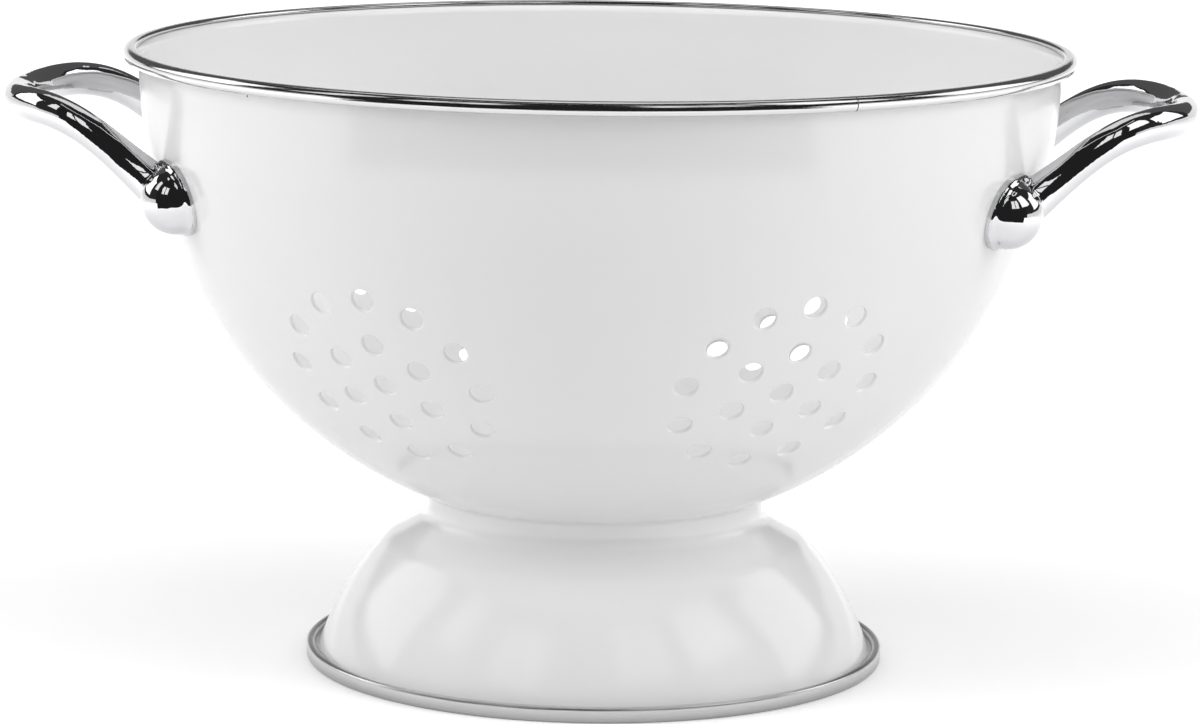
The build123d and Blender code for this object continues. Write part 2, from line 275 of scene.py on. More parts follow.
def rolled_strip(name, colours, roughness, line_depth, painted_shade_top=0):
    """Stainless strip, with fine lines round the ring from rolling and buffing, and painted shade darkening
    it towards the floor when a top for that is given.
    """
    material, tree, shader = new_material(name, metallic=1, roughness=roughness)
    place = add_node(tree, "ShaderNodeTexCoord", {}).outputs["Object"]
    parts = add_node(tree, "ShaderNodeSeparateXYZ", {"Vector": place})
    level = add_node(tree, "ShaderNodeCombineXYZ", {"X": parts.outputs["X"], "Y": parts.outputs["Y"]})
    radius = add_node(tree, "ShaderNodeVectorMath", {"Vector": level.outputs["Vector"]}, operation="LENGTH")
    angle = add_node(tree, "ShaderNodeMath", {
        0: parts.outputs["Y"], 1: parts.outputs["X"]}, operation="ARCTAN2")
    # Lines about 0.15 mm apart, each a few centimetres long
    along = add_node(tree, "ShaderNodeMath", {0: angle.outputs["Value"], 1: 0.0006}, operation="MULTIPLY")
    ring = add_node(tree, "ShaderNodeCombineXYZ", {
        "X": radius.outputs["Value"], "Y": along.outputs["Value"], "Z": parts.outputs["Z"]})
    lines = add_node(tree, "ShaderNodeTexNoise", {
        "Vector": ring.outputs["Vector"], "Scale": 6500, "Detail": 3, "Roughness": 0.6})
    bump = add_node(tree, "ShaderNodeBump", {
        "Height": lines.outputs["Fac"], "Strength": line_depth, "Distance": 0.00005})
    wear = add_node(tree, "ShaderNodeMapRange", {
        "Value": lines.outputs["Fac"],
        "To Min": roughness * WEAR_SPREAD[0], "To Max": roughness * WEAR_SPREAD[1]})
    shader.inputs["Base Color"].default_value = colours.stainless
    if painted_shade_top:
        # Painted shade: the face's colour darkens from the upper edge down to the floor, standing in for the
        # shaded floor that it reflects
        height = add_node(tree, "ShaderNodeMapRange", {
            "Value": parts.outputs["Z"], "From Min": 0, "From Max": painted_shade_top})
        tone = add_node(tree, "ShaderNodeMix", {
            "Factor": height.outputs["Result"], "A": colours.painted_shade_steel, "B": colours.stainless},
            data_type="RGBA")
        tree.links.new(tone.outputs["Result"], shader.inputs["Base Color"])
    tree.links.new(wear.outputs["Result"], shader.inputs["Roughness"])
    tree.links.new(bump.outputs["Normal"], shader.inputs["Normal"])
    return material


def chrome_plate(colours):
    """Bright chrome over a zinc casting: a mirror that keeps the casting's soft waviness."""
    material, tree, shader = new_material("chrome_plate", metallic=1, roughness=0.035)
    place = add_node(tree, "ShaderNodeTexCoord", {}).outputs["Object"]
    # Waves about 6 mm across from hand polishing, and a fine pull of about 1 mm
    wave = add_node(tree, "ShaderNodeTexNoise", {"Vector": place, "Scale": 160, "Detail": 0})
    pull = add_node(tree, "ShaderNodeTexNoise", {"Vector": place, "Scale": 900, "Detail": 0})
    waves = add_node(tree, "ShaderNodeBump", {
        "Height": wave.outputs["Fac"], "Strength": 0.35, "Distance": 0.0005})
    pulls = add_node(tree, "ShaderNodeBump", {
        "Height": pull.outputs["Fac"], "Strength": 0.12, "Distance": 0.0001,
        "Normal": waves.outputs["Normal"]})
    shader.inputs["Base Color"].default_value = colours.chrome
    tree.links.new(pulls.outputs["Normal"], shader.inputs["Normal"])
    return material


def turned_steel(colours):
    """Stainless fasteners, bright from tumbling, with a fine even grain."""
    material, tree, shader = new_material("turned_steel", metallic=1, roughness=0.22)
    place = add_node(tree, "ShaderNodeTexCoord", {}).outputs["Object"]
    # Tumbling marks about 0.4 mm across
    grain = add_node(tree, "ShaderNodeTexNoise", {"Vector": place, "Scale": 2500, "Detail": 2})
    bump = add_node(tree, "ShaderNodeBump", {
        "Height": grain.outputs["Fac"], "Strength": 0.2, "Distance": 0.00005})
    shader.inputs["Base Color"].default_value = colours.fastener
    tree.links.new(bump.outputs["Normal"], shader.inputs["Normal"])
    return material


def arc(centre, radius, start, end, steps):
    """Give points of an arc from one angle to another, both ends included."""
    angles = [start + (end - start) * i / steps for i in range(steps + 1)]
    return [Vector((centre[0] + radius * math.cos(a), centre[1] + radius * math.sin(a))) for a in angles]


def strip_line(corners, radii, steps):
    """Give points of straight runs between corners, each corner turned clockwise at its radius."""
    corners = [Vector(corner) for corner in corners]
    points = [corners[0]]
    for before, corner, after, radius in zip(corners, corners[1:], corners[2:], radii):
        way_in = (corner - before).normalized()
        way_out = (after - corner).normalized()
        bend = way_in.angle(way_out)
        start = corner - way_in * radius * math.tan(bend / 2)
        middle = start + Vector((way_in.y, -way_in.x)) * radius
        first = math.atan2(-(middle - start).y, -(middle - start).x)
        points += arc(middle, radius, first, first - bend, steps)
    points.append(corners[-1])
    return points


def deselect_all():
    """Leave edit mode and deselect every object."""
    if bpy.context.object and bpy.context.object.mode != "OBJECT":
        bpy.ops.object.mode_set(mode="OBJECT")
    bpy.ops.object.select_all(action="DESELECT")


def activate(piece):
    """Make a piece the only selected object."""
    deselect_all()
    piece.select_set(True)
    bpy.context.view_layer.objects.active = piece


def apply_modifiers(piece):
    """Apply the piece's modifiers from the top down."""
    activate(piece)
    for modifier in list(piece.modifiers):
        bpy.ops.object.modifier_apply(modifier=modifier.name)


def spin_profile(name, profile, steps, sweep=2 * math.pi, capped=True):
    """Extrude a vertex through the profile's points of radius and height, and spin it round Z."""
    deselect_all()
    bpy.ops.mesh.primitive_plane_add(size=profile[0].x or 1, location=(profile[0].x, 0, profile[0].y))
    piece = bpy.context.object
    piece.name = piece.data.name = name
    bpy.ops.object.transform_apply(location=True)
    bpy.ops.object.mode_set(mode="EDIT")
    bpy.ops.mesh.select_all(action="SELECT")
    bpy.ops.mesh.merge(type="CENTER")
    for before, point in zip(profile, profile[1:]):
        move = point - before
        bpy.ops.mesh.extrude_region_move(TRANSFORM_OT_translate={"value": (move.x, 0, move.y)})
    bpy.ops.mesh.select_all(action="SELECT")
    bpy.ops.mesh.spin(steps=steps, dupli=False, angle=sweep, center=(0, 0, 0), axis=(0, 0, 1))
    bpy.ops.mesh.select_all(action="SELECT")
    bpy.ops.mesh.remove_doubles(threshold=MERGE_DISTANCE)
    if capped and sweep < 2 * math.pi:
        bpy.ops.mesh.fill_holes(sides=0)
        bpy.ops.mesh.select_all(action="SELECT")
    bpy.ops.mesh.normals_make_consistent(inside=False)
    bpy.ops.object.mode_set(mode="OBJECT")
    return piece


def turn_round_axis(piece, azimuth):
    """Turn a piece round Z, with its place kept in its mesh."""
    piece.data.transform(Matrix.Rotation(azimuth, 4, "Z"))


def finish_piece(piece, material, node):
    """Smooth a finished piece, give it its material, hang it under the root body and hide the CAD node that
    it stands for.
    """
    activate(piece)
    bpy.ops.object.shade_smooth_by_angle(angle=SMOOTH_ANGLE)
    piece.data.materials.clear()
    piece.data.materials.append(material)
    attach(piece, "root")
    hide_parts(node)


def bowl_heights(bowl, bands):
    """Work out the bowl's main places from the rim band: lip, sphere and floor."""
    rim_middle = (RIM_LOW.z + RIM_HIGH.z) / 2
    lip_height = rim_middle - bowl.flare - bowl.wall / 2
    lip_radius = RIM_HIGH.x - bands.rim_width - bands.rim_stand
    sphere_height = lip_height - (bowl.wall_radius - bowl.sphere_radius) * math.sin(bowl.wall_angle)
    floor_turn = math.asin(bowl.floor_start / bowl.sphere_radius)
    floor_height = (sphere_height - bowl.sphere_radius * math.cos(floor_turn)
                    - bowl.floor_blend * (1 - math.cos(floor_turn)))
    return lip_radius, lip_height, sphere_height, floor_height, floor_turn


def bowl_line(bowl, bands, inset):
    """Give the bowl's profile from the axis to the lip, inset from its outside."""
    lip_radius, lip_height, sphere_height, floor_height, floor_turn = bowl_heights(bowl, bands)
    flat = bowl.floor_start - bowl.floor_blend * math.sin(floor_turn)
    down = -math.pi / 2
    floor_middle = (flat, floor_height + bowl.floor_blend)
    wall_middle = (lip_radius - bowl.wall_radius, lip_height)
    points = [Vector((flat * share, floor_height + inset)) for share in (0, 0.25, 0.5, 0.75)]
    points += arc(floor_middle, bowl.floor_blend - inset, down, down + floor_turn, steps=6)
    points += arc((0, sphere_height), bowl.sphere_radius - inset,
                  down + floor_turn, -bowl.wall_angle, steps=52)[1:]
    points += arc(wall_middle, bowl.wall_radius - inset, -bowl.wall_angle, 0, steps=18)[1:]
    return points


def bowl_profile(bowl, bands):
    """Give the whole section: outside, flare, bead in the rim band, and inside."""
    lip_radius, lip_height = bowl_heights(bowl, bands)[:2]
    rim_middle = (RIM_LOW.z + RIM_HIGH.z) / 2
    flare_middle = (lip_radius + bowl.flare, lip_height)
    half_width = bands.rim_width / 2 - bands.sheet - bands.gap
    half_height = (RIM_HIGH.z - RIM_LOW.z) / 2 - bands.sheet - bands.gap
    bead = RIM_HIGH.x - bands.rim_width / 2
    edge, half_wall, corner = bead - half_width, bowl.wall / 2, half_height * BEAD_ROUNDNESS
    profile = bowl_line(bowl, bands, 0)
    profile += arc(flare_middle, bowl.flare, math.pi, math.pi / 2, steps=6)[1:]
    profile += [Vector((edge, rim_middle - half_wall))]
    for x, y, start in ((-1, -1, 180), (1, -1, 270), (1, 1, 0), (-1, 1, 90)):
        middle = (bead + x * (half_width - corner), rim_middle + y * (half_height - corner))
        profile += arc(middle, corner, math.radians(start), math.radians(start + 90), steps=4)
    profile += [Vector((edge, rim_middle + half_wall))]
    profile += arc(flare_middle, bowl.flare + bowl.wall, math.pi / 2, math.pi, steps=8)
    profile += bowl_line(bowl, bands, bowl.wall)[:-1][::-1]
    return profile


def hole_places(bowl, bands):
    """Give the place and outward direction of each drain hole, rosette by rosette."""
    _, _, sphere_height, floor_height, _ = bowl_heights(bowl, bands)
    rosettes = [(Vector((0, 0, floor_height)), Vector((1, 0, 0)), Vector((0, 0, -1)), False)]
    for azimuth in ROSETTE_AZIMUTHS:
        side = math.radians(azimuth)
        facing = Vector((math.sin(side) * math.cos(bowl.drop), -math.cos(side) * math.cos(bowl.drop),
                         -math.sin(bowl.drop)))
        across = Vector((math.cos(side), math.sin(side), 0))
        rosettes.append((Vector((0, 0, sphere_height)), across, facing, True))
    for middle, across, facing, on_sphere in rosettes:
        up = facing.cross(across)
        for ring, count in enumerate(ROSETTE_RINGS):
            for index in range(count):
                angle = math.pi / 2 + bowl.twist + 2 * math.pi * index / count
                out = ring * bowl.pitch
                offset = across * out * math.cos(angle) + up * out * math.sin(angle)
                if on_sphere:
                    rise = math.sqrt(bowl.sphere_radius ** 2 - out ** 2)
                    spot = middle + offset + facing * rise
                    yield spot, (spot - middle).normalized()
                else:
                    yield middle + offset, facing


def hole_spool(bowl):
    """Model one hole's cutter, with waists that leave rounded enamel edges."""
    edge, cap = bowl.hole_edge, bowl.wall
    middle = bowl.hole_radius + edge
    # The wall curves away from under the hole's edge by this much
    sag = middle ** 2 / 2 / bowl.sphere_radius
    upper = arc((middle, -edge - sag), edge, math.pi, math.pi - EDGE_REACH, steps=5)
    lower = arc((middle, edge - bowl.wall - sag), edge, math.pi + EDGE_REACH, math.pi, steps=5)
    run = Vector((math.sin(EDGE_REACH), math.cos(EDGE_REACH))) * edge
    top, bottom = upper[-1] + run, lower[0] + Vector((run.x, -run.y))
    profile = [Vector((0, bottom.y - cap)), Vector((bottom.x, bottom.y - cap)), bottom] + lower
    profile += upper + [top, Vector((top.x, top.y + cap)), Vector((0, top.y + cap))]
    return spin_profile("hole_spool", profile, steps=32)


def placed_copies(model, matrices, name):
    """Join copies of a piece at these places, and take the model away."""
    copies = []
    for matrix in matrices:
        mesh = model.data.copy()
        mesh.transform(matrix)
        copy = bpy.data.objects.new(name, mesh)
        bpy.context.scene.collection.objects.link(copy)
        copies.append(copy)
    bpy.data.objects.remove(model)
    deselect_all()
    for copy in copies:
        copy.select_set(True)
    bpy.context.view_layer.objects.active = copies[0]
    bpy.ops.object.join()
    copies[0].name = name
    return copies[0]


def cut(piece, cutter):
    """Cut one piece's body out of another."""
    modifier = piece.modifiers.new("cut", "BOOLEAN")
    modifier.operation = "DIFFERENCE"
    modifier.solver = "EXACT"
    modifier.object = cutter
    apply_modifiers(piece)


def keep_skin_normals(piece, shell):
    """Give all that lies on the uncut shell the shell's own smooth normals."""
    tree = BVHTree.FromObject(shell, bpy.context.evaluated_depsgraph_get())
    skin = piece.vertex_groups.new(name="skin")
    on_shell = [v.index for v in piece.data.vertices if tree.find_nearest(v.co, SKIN_REACH)[0]]
    skin.add(on_shell, 1, "REPLACE")
    transfer = piece.modifiers.new("skin", "DATA_TRANSFER")
    transfer.object = shell
    transfer.vertex_group = skin.name
    transfer.use_loop_data = True
    transfer.data_types_loops = {"CUSTOM_NORMAL"}
    transfer.loop_mapping = "POLYINTERP_NEAREST"
    apply_modifiers(piece)


class COLANDER_OT_bowl(bpy.types.Operator):
    """Model the pressed bowl with its drain holes"""
    bl_idname = "colander.bowl"
    bl_label = "Bowl"

    def execute(self, context):
        bowl, bands = context.scene.colander_bowl, context.scene.colander_bands
        piece = spin_profile("bowl_shell", bowl_profile(bowl, bands), steps=256)
        activate(piece)
        bpy.ops.object.shade_smooth_by_angle(angle=SMOOTH_ANGLE)
        shell = piece.copy()
        shell.data = piece.data.copy()
        context.scene.collection.objects.link(shell)
        places = [Matrix.Translation(spot) @ out.to_track_quat("Z", "Y").to_matrix().to_4x4()
                  for spot, out in hole_places(bowl, bands)]
        cutter = placed_copies(hole_spool(bowl), places, "hole_cutter")
        cut(piece, cutter)
        finish_piece(piece, fired_enamel(context.scene.colander_finishes), "bowl")
        keep_skin_normals(piece, shell)
        bpy.data.objects.remove(cutter)
        bpy.data.objects.remove(shell)
        return {"FINISHED"}


def foot_line(foot, bands, bowl, inset):
    """Give the foot's profile from the bowl down to its turned-out edge, inset from its outside."""
    middle = (FOOT_LOW.z + FOOT_HIGH.z) / 2
    turned = math.pi / 2 - foot.skirt_bottom
    end_radius = FOOT_HIGH.x - bands.foot_width - foot.flare * math.sin(turned)
    end_height = middle + foot.wall / 2 + foot.flare * (1 - math.cos(turned))
    skirt = end_radius / math.cos(foot.skirt_bottom)
    skirt_height = end_height - skirt * math.sin(foot.skirt_bottom)
    slope_normal = math.pi / 2 - foot.slope_angle
    shoulder = Vector((math.cos(foot.skirt_top), math.sin(foot.skirt_top))) * (skirt - foot.shoulder)
    shoulder += Vector((0, skirt_height))
    facing = Vector((math.cos(slope_normal), math.sin(slope_normal)))
    slope_top = shoulder + facing * foot.shoulder + Vector((-facing.y, facing.x)) * foot.slope
    bend = slope_top + facing * foot.bend
    collar = bend.x - foot.bend
    _, _, sphere_height, _, _ = bowl_heights(bowl, bands)
    top = sphere_height - math.sqrt(bowl.sphere_radius ** 2 - (collar - inset) ** 2)
    flare = Vector((end_radius, end_height)) + Vector(
        (math.cos(foot.skirt_bottom), math.sin(foot.skirt_bottom))) * foot.flare
    points = [Vector((collar - inset, top))]
    points += arc(bend, foot.bend + inset, math.pi, math.pi + slope_normal, steps=10)
    points += arc(shoulder, foot.shoulder - inset, slope_normal, foot.skirt_top, steps=8)
    points += arc((0, skirt_height), skirt - inset, foot.skirt_top, foot.skirt_bottom, steps=22)[1:]
    points += arc(flare, foot.flare + inset, math.pi + foot.skirt_bottom, 1.5 * math.pi, steps=8)[1:]
    return points


class COLANDER_OT_foot(bpy.types.Operator):
    """Model the spun foot with its hemmed edge"""
    bl_idname = "colander.foot"
    bl_label = "Foot"

    def execute(self, context):
        scene = context.scene
        bowl, bands, foot = scene.colander_bowl, scene.colander_bands, scene.colander_foot
        outside = foot_line(foot, bands, bowl, 0)
        inside = foot_line(foot, bands, bowl, foot.wall)
        # Enamel fillet in the corner between the collar and the bowl
        corner = outside[0]
        slope = math.asin(corner.x / bowl.sphere_radius)
        out = Vector((math.cos(slope), math.sin(slope))) * foot.weld
        tip, low = corner + out, corner - Vector((0, foot.weld))
        fillet = []
        for share in (0, 0.25, 0.5, 0.75, 1):
            near_tip = tip.lerp(corner, WELD_HOLLOW * share)
            near_low = corner.lerp(low, 1 - WELD_HOLLOW * (1 - share))
            fillet.append(near_tip.lerp(near_low, share))
        middle = (FOOT_LOW.z + FOOT_HIGH.z) / 2
        half_width = (bands.foot_width - bands.foot_taper) / 2 - bands.sheet - bands.gap
        half_height = (FOOT_HIGH.z - FOOT_LOW.z) / 2 - bands.sheet - bands.gap
        hem = FOOT_HIGH.x - bands.foot_taper - bands.sheet - bands.gap - half_width
        round_off = half_width * HEM_ROUNDNESS
        profile = fillet + outside[1:] + [Vector((hem - half_width, middle + foot.wall / 2))]
        for x, y, start in ((-1, 1, 180), (1, 1, 90), (1, -1, 0), (-1, -1, -90)):
            place = (hem + x * (half_width - round_off), middle + y * (half_height - round_off))
            profile += arc(place, round_off, math.radians(start), math.radians(start - 90), steps=4)
        profile += [Vector((hem - half_width, middle - foot.wall / 2))] + inside[::-1] + [tip]
        piece = spin_profile("foot_skirt", profile, steps=224)
        finish_piece(piece, bpy.data.materials["fired_enamel"], "foot")
        return {"FINISHED"}


class COLANDER_OT_bands(bpy.types.Operator):
    """Model the strips rolled round the lip and the foot"""
    bl_idname = "colander.bands"
    bl_label = "Bands"

    def execute(self, context):
        scene = context.scene
        bowl, bands, foot = scene.colander_bowl, scene.colander_bands, scene.colander_foot
        colours = scene.colander_finishes
        lip_radius = bowl_heights(bowl, bands)[0]
        inner, outer, low, high = RIM_HIGH.x - bands.rim_width, RIM_HIGH.x, RIM_LOW.z, RIM_HIGH.z
        leg = (high - low) / 2 - bowl.wall / 2 - bands.gap
        lines = [strip_line([
            (inner + inset, high - leg), (inner + inset, high - inset), (outer - inset, high - inset),
            (outer - inset, low + inset), (lip_radius + bands.gap, low + inset),
        ], [leg * LEG_ROUNDNESS - inset, bands.rim_corner - inset, bands.rim_corner - inset], steps=8)
            for inset in (0, bands.sheet)]
        steel = rolled_strip("buffed_stainless", colours, roughness=0.11, line_depth=0.25)
        piece = self.roll("rim_strip", lines, bands.seam / outer, bands.rim_seam_azimuth, steps=320)
        finish_piece(piece, steel, "rim_band")

        inner, outer, high = FOOT_HIGH.x - bands.foot_width, FOOT_HIGH.x, FOOT_HIGH.z
        lean = bands.foot_taper / high
        leg_end = high / 2 + foot.wall / 2 + bands.gap
        tread_end = outer - bands.foot_taper - bands.foot_corner - bands.foot_tread
        lines = [strip_line([
            (inner + inset, leg_end), (inner + inset, high - inset),
            (outer - inset - lean * inset, high - inset),
            (outer - inset - lean * (high - inset), inset), (tread_end, inset),
        ], [bands.foot_corner - inset] * 3, steps=6) for inset in (0, bands.sheet)]
        # The foot strip's colour carries painted shade, darker towards the floor
        steel = rolled_strip("satin_stainless", colours, roughness=0.3, line_depth=0.6,
                             painted_shade_top=high * PAINTED_SHADE_SHARE)
        piece = self.roll("foot_strip", lines, bands.seam / outer, bands.foot_seam_azimuth, steps=256)
        finish_piece(piece, steel, "foot_band")
        return {"FINISHED"}

    def roll(self, name, lines, seam, azimuth, steps):
        """Roll a strip round the axis, with a butt seam of this angle at an azimuth from the front."""
        profile = lines[0] + lines[1][::-1] + lines[0][:1]
        piece = spin_profile(name, profile, steps, 2 * math.pi - seam)
        turn_round_axis(piece, azimuth - math.pi / 2 - seam / 2)
        return piece


def pad_matrix(bowl, bands, handle, swing):
    """Give the place of a pad on the wall: Z out of the wall, X level towards the handle's middle."""
    lip_radius, lip_height = bowl_heights(bowl, bands)[:2]
    height = RIM_HIGH.z - handle.pad_drop
    lean = math.asin((lip_height - height) / bowl.wall_radius)
    radius = lip_radius - bowl.wall_radius * (1 - math.cos(lean))
    out = Vector((math.cos(lean) * math.cos(swing), math.cos(lean) * math.sin(swing), -math.sin(lean)))
    level = Vector((-math.sin(swing), math.cos(swing), 0))
    axes = Matrix((level, out.cross(level), out)).transposed().to_4x4()
    return Matrix.Translation((radius * math.cos(swing), radius * math.sin(swing), height)) @ axes


def bail_arm(pad, middle, handle):
    """Sweep the bail's oval section along a curve from a pad to the bail's middle."""
    way = middle - pad
    bends = [pad + Vector([w * s for w, s in zip(way, shares)]) for shares in BEND_SHARES]
    points = [pad, *bends, middle]
    deselect_all()
    bpy.ops.curve.primitive_nurbs_circle_add(radius=0.5)
    section = bpy.context.object
    section.data.transform(Matrix.Diagonal((handle.arm_thickness, handle.arm_height, 1, 1)))
    section.data.resolution_u = 8
    bpy.ops.curve.primitive_nurbs_path_add()
    arm = bpy.context.object
    spline = arm.data.splines[0]
    spline.points.add(len(points) - len(spline.points))
    for place, point, swell in zip(spline.points, points, SWELL_SHARES):
        place.co = (*point, 1)
        place.radius = swell
    spline.order_u = len(points)
    spline.use_endpoint_u = True
    spline.resolution_u = 24
    arm.data.twist_mode = "Z_UP"
    arm.data.bevel_mode = "OBJECT"
    arm.data.bevel_object = section
    arm.data.use_fill_caps = True
    activate(arm)
    bpy.ops.object.convert(target="MESH")
    bpy.data.objects.remove(section)
    return arm


def pad_dome(handle):
    """Spin the dome over the screw, with a hollow bend down to the flange."""
    flange, fillet, lift = handle.flange, handle.dome * DOME_FILLET_SHARE, handle.dome_lift
    rise = math.asin((flange + fillet - lift) / (handle.dome + fillet))
    centre = Vector(((handle.dome + fillet) * math.cos(rise), flange + fillet))
    depth = -handle.flange * 2
    profile = [Vector((0, depth)), Vector((centre.x, depth)), Vector((centre.x, flange))]
    profile += arc(centre, fillet, -math.pi / 2, -math.pi + rise, steps=8)[1:]
    profile += arc((0, lift), handle.dome, rise, math.pi / 2, steps=12)[1:]
    return spin_profile("pad_dome", profile, steps=48)


def pad_flange(handle):
    """Model the pad's plate: the hull of a large and a small disc, with its outer edge rounded."""
    deselect_all()
    depth = 3 * handle.flange
    tip = Vector((math.cos(handle.pad_tip_angle), math.sin(handle.pad_tip_angle), 0)) * handle.pad_tip_offset
    lift = Vector((0, 0, handle.flange - depth / 2))
    bpy.ops.mesh.primitive_cylinder_add(vertices=64, radius=handle.pad, depth=depth, location=lift)
    plate = bpy.context.object
    bpy.ops.object.mode_set(mode="EDIT")
    bpy.ops.mesh.primitive_cylinder_add(vertices=48, radius=handle.pad_tip, depth=depth, location=lift + tip)
    bpy.ops.mesh.select_all(action="SELECT")
    bpy.ops.mesh.convex_hull()
    bpy.ops.mesh.select_all(action="SELECT")
    bpy.ops.mesh.dissolve_limited(angle_limit=math.radians(1))
    bpy.ops.mesh.select_all(action="DESELECT")
    bpy.ops.object.mode_set(mode="OBJECT")
    bpy.ops.object.transform_apply(location=True)
    top = max(plate.data.polygons, key=lambda face: face.center.z)
    top.select = True
    bpy.ops.object.mode_set(mode="EDIT")
    bpy.ops.mesh.select_mode(type="FACE")
    bpy.ops.mesh.region_to_loop()
    bpy.ops.mesh.bevel(offset=handle.flange_round, segments=5, affect="EDGES")
    bpy.ops.mesh.select_mode(type="VERT")
    bpy.ops.object.mode_set(mode="OBJECT")
    return plate


class COLANDER_OT_handles(bpy.types.Operator):
    """Model the cast handles, blended in one skin and seated on the bowl"""
    bl_idname = "colander.handles"
    bl_label = "Handles"

    def execute(self, context):
        scene = context.scene
        bowl, bands, handle = scene.colander_bowl, scene.colander_bands, scene.colander_handle
        lip_radius = bowl_heights(bowl, bands)[0]
        pad = pad_matrix(bowl, bands, handle, -handle.pad_swing)
        middle = Vector((lip_radius + handle.stand, 0, RIM_HIGH.z - handle.drop))
        arm = bail_arm(pad.to_translation(), middle, handle)
        dome, flange = pad_dome(handle), pad_flange(handle)
        for part in (dome, flange):
            part.data.transform(pad @ Matrix.Translation((0, handle.pad_rise, 0)))
        deselect_all()
        for part in (arm, dome, flange):
            part.select_set(True)
        context.view_layer.objects.active = arm
        bpy.ops.object.join()
        piece = context.object
        piece.name = piece.data.name = "right_bail"
        mirror = piece.modifiers.new("other_half", "MIRROR")
        mirror.use_axis = (False, True, False)
        mirror.use_mirror_merge = False
        blend = piece.modifiers.new("blend", "REMESH")
        blend.mode = "VOXEL"
        blend.voxel_size = handle.grain
        soften = piece.modifiers.new("soften", "SMOOTH")
        soften.factor = 0.5
        soften.iterations = SOFTEN_PASSES
        apply_modifiers(piece)

        # The bowl's outside, and the screw's hole at each pad, come out of the casting
        body = bowl_line(bowl, bands, 0)
        body.append(Vector((0, body[-1].y)))
        seat = spin_profile("seat", body, steps=512)
        cut(piece, seat)
        bpy.data.objects.remove(seat)
        deselect_all()
        bpy.ops.mesh.primitive_cylinder_add(vertices=32, radius=handle.bore, depth=2 * handle.bore_depth)
        places = [pad_matrix(bowl, bands, handle, swing) for swing in (-handle.pad_swing, handle.pad_swing)]
        bores = placed_copies(context.object, places, "bores")
        cut(piece, bores)
        bpy.data.objects.remove(bores)

        other = piece.copy()
        other.data = piece.data.copy()
        other.name = other.data.name = "left_bail"
        scene.collection.objects.link(other)
        other.data.transform(Matrix.Diagonal((-1, 1, 1, 1)))
        other.data.flip_normals()
        chrome = chrome_plate(scene.colander_finishes)
        finish_piece(piece, chrome, "right_handle")
        finish_piece(other, chrome, "left_handle")
        return {"FINISHED"}


class COLANDER_OT_fasteners(bpy.types.Operator):
    """Give the screws and washers inside the bowl their finish"""
    bl_idname = "colander.fasteners"
    bl_label = "Fasteners"

    def execute(self, context):
        steel = turned_steel(context.scene.colander_finishes)
        for name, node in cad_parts.items():
            if name.endswith(("_screw", "_washer")):
                node.data.materials.clear()
                node.data.materials.append(steel)
        return {"FINISHED"}


def soft_box(name, place, size, power):
    """Hang a soft box that faces the colander, and that reflections don't show."""
    lamp = bpy.data.lights.new(name, "AREA")
    lamp.shape = "RECTANGLE"
    lamp.size, lamp.size_y = size
    lamp.energy = power
    box = bpy.data.objects.new(name, lamp)
    bpy.context.scene.collection.objects.link(box)
    box.visible_glossy = False
    box.location = place
    box.rotation_euler = (Vector(LAMP_TARGET) - Vector(place)).to_track_quat("-Z", "Y").to_euler()


def studio_card(name, azimuths, elevations, radius, tone):
    """Bend a studio card of one tone over part of a sphere, which only reflections see."""
    low, high = elevations
    profile = []
    for index in range(CARD_STEPS + 1):
        rise = math.radians(low + (high - low) * index / CARD_STEPS)
        point = Vector((radius * math.cos(rise), radius * math.sin(rise)))
        # Below the floor, a point comes in along its ray until it lies on the floor
        if point.y < CARD_FLOOR_GAP - CARD_LEVEL:
            point *= (CARD_FLOOR_GAP - CARD_LEVEL) / point.y
        profile.append(point + Vector((0, CARD_LEVEL)))
    first, last = (math.radians(azimuth) for azimuth in azimuths)
    card = spin_profile(name, profile, CARD_STEPS, last - first, capped=False)
    turn_round_axis(card, last - math.pi / 2)
    material, _, shader = new_material(
        "studio_card", roughness=1, specular_ior_level=0, emission_strength=tone)
    shader.inputs["Base Color"].default_value = linear("000000")
    shader.inputs["Emission Color"].default_value = linear("FFFFFF")
    card.data.materials.append(material)
    card.visible_camera = False
    card.visible_diffuse = False
    card.visible_shadow = False
    card.visible_transmission = False


def seen_or_mirrored(tree):
    """Give 1 for a ray from the camera or off a shiny surface, and 0 for the others."""
    path = add_node(tree, "ShaderNodeLightPath", {})
    either = add_node(tree, "ShaderNodeMath", {
        0: path.outputs["Is Camera Ray"], 1: path.outputs["Is Glossy Ray"]}, operation="MAXIMUM")
    return either.outputs["Value"]


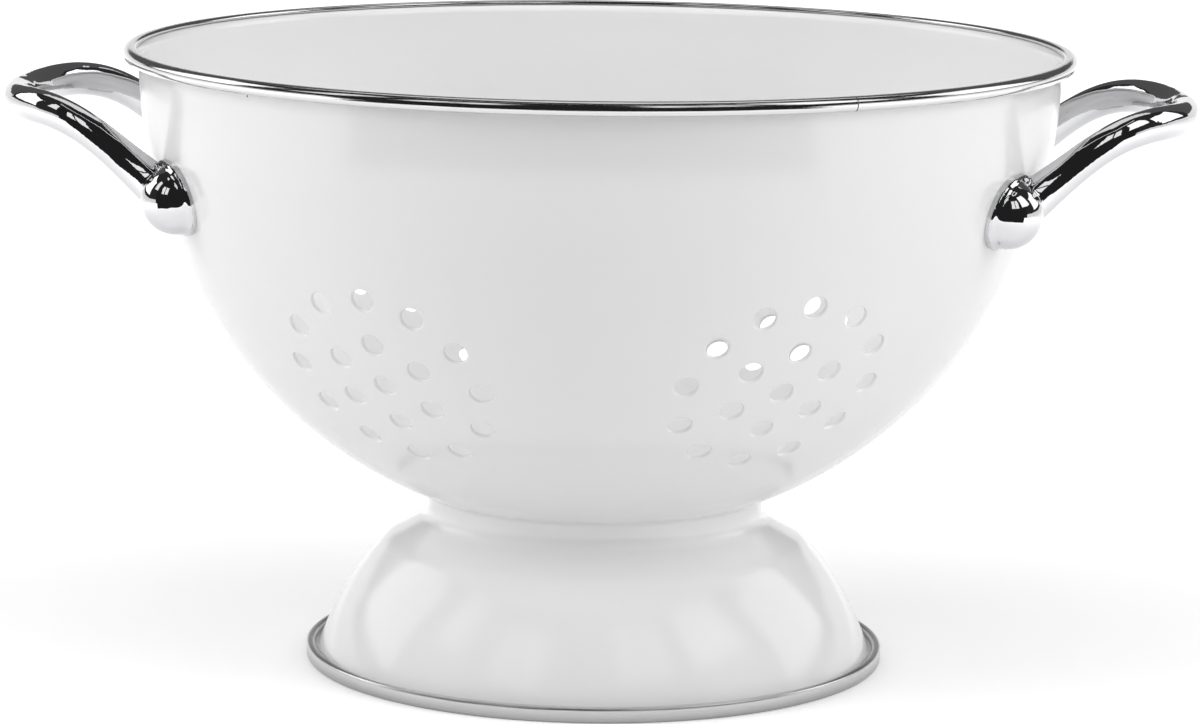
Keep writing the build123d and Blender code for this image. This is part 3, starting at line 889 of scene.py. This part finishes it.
class COLANDER_OT_stage(bpy.types.Operator):
    """Set up the white floor, the soft boxes, the studio cards, the world and the camera"""
    bl_idname = "colander.stage"
    bl_label = "Stage"

    def execute(self, context):
        scene = context.scene
        scene.view_settings.view_transform = "Standard"
        self.floor(scene.colander_finishes)
        for card in CARDS:
            studio_card(*card)
        self.world(scene)
        for box in SOFT_BOXES:
            soft_box(*box)
        self.camera(scene)
        return {"FINISHED"}

    def floor(self, colours):
        """Lay a matt floor that shows white to the camera and keeps the shadow."""
        deselect_all()
        bpy.ops.mesh.primitive_plane_add(size=FLOOR_SIZE)
        floor = bpy.context.object
        floor.name = "floor"
        material, tree, shader = new_material("matt_floor", roughness=0.9)
        shader.inputs["Base Color"].default_value = colours.floor
        # The added white rises away from the colander, where the lamps reach the floor less
        place = add_node(tree, "ShaderNodeTexCoord", {}).outputs["Object"]
        distance = add_node(tree, "ShaderNodeVectorMath", {"Vector": place}, operation="LENGTH")
        strength = add_node(tree, "ShaderNodeMapRange", {
            "Value": distance.outputs["Value"],
            "From Min": FLOOR_GLOW_REACH[0], "From Max": FLOOR_GLOW_REACH[1],
            "To Min": FLOOR_GLOW[0], "To Max": FLOOR_GLOW[1]})
        glow = add_node(tree, "ShaderNodeEmission", {
            "Color": linear("FFFFFF"), "Strength": strength.outputs["Result"]})
        both = add_node(tree, "ShaderNodeAddShader", {0: shader.outputs["BSDF"], 1: glow.outputs["Emission"]})
        mixed = add_node(tree, "ShaderNodeMixShader", {
            "Fac": seen_or_mirrored(tree), 1: shader.outputs["BSDF"], 2: both.outputs["Shader"]})
        tree.links.new(mixed.outputs["Shader"], tree.nodes["Material Output"].inputs["Surface"])
        floor.data.materials.append(material)

    def world(self, scene):
        """Light evenly from all round, and show white to the camera and in reflections."""
        world = bpy.data.worlds.new("studio")
        scene.world = world
        world.use_nodes = True
        tree = world.node_tree
        strength = add_node(tree, "ShaderNodeMapRange", {
            "Value": seen_or_mirrored(tree), "To Min": WORLD_LIGHT, "To Max": 1})
        background = tree.nodes["Background"]
        background.inputs["Color"].default_value = linear("FFFFFF")
        tree.links.new(strength.outputs["Result"], background.inputs["Strength"])

    def camera(self, scene):
        """Place the camera at the photograph's viewing angle."""
        camera = bpy.data.cameras.new("camera")
        camera.sensor_width = SENSOR_WIDTH
        camera.lens = CAMERA_LENS
        camera.clip_end = CLIP_END
        view = bpy.data.objects.new("camera", camera)
        scene.collection.objects.link(view)
        aim = Euler(CAMERA_TURN).to_matrix().to_4x4()
        roll = Matrix.Rotation(CAMERA_ROLL, 4, "Z")
        view.matrix_world = Matrix.Translation(CAMERA_PLACE) @ aim @ roll
        scene.camera = view


class COLANDER_PT_panel(bpy.types.Panel):
    """Lists the steps in the order in which they are made"""
    bl_label = "Colander"
    bl_idname = "COLANDER_PT_panel"
    bl_space_type = "VIEW_3D"
    bl_region_type = "UI"
    bl_category = "Colander"

    def draw(self, context):
        for step in STEPS:
            self.layout.operator(f"colander.{step}")


STEPS = ("bowl", "foot", "bands", "handles", "fasteners", "stage")
GROUPS = {
    "colander_bowl": BowlSizes,
    "colander_bands": BandSizes,
    "colander_foot": FootSizes,
    "colander_handle": HandleSizes,
    "colander_finishes": Finishes,
}
CLASSES = (
    COLANDER_OT_bowl, COLANDER_OT_foot, COLANDER_OT_bands, COLANDER_OT_handles, COLANDER_OT_fasteners,
    COLANDER_OT_stage, COLANDER_PT_panel,
)


def register():
    for name, group in GROUPS.items():
        bpy.utils.register_class(group)
        setattr(bpy.types.Scene, name, bpy.props.PointerProperty(type=group))
    for listed in CLASSES:
        bpy.utils.register_class(listed)


def unregister():
    for listed in reversed(CLASSES):
        bpy.utils.unregister_class(listed)
    for name, group in GROUPS.items():
        delattr(bpy.types.Scene, name)
        bpy.utils.unregister_class(group)


def main():
    """Model the colander step by step."""
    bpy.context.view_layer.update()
    register()
    for step in STEPS:
        getattr(bpy.ops.colander, step)()


if __name__ == "__main__":
    main()
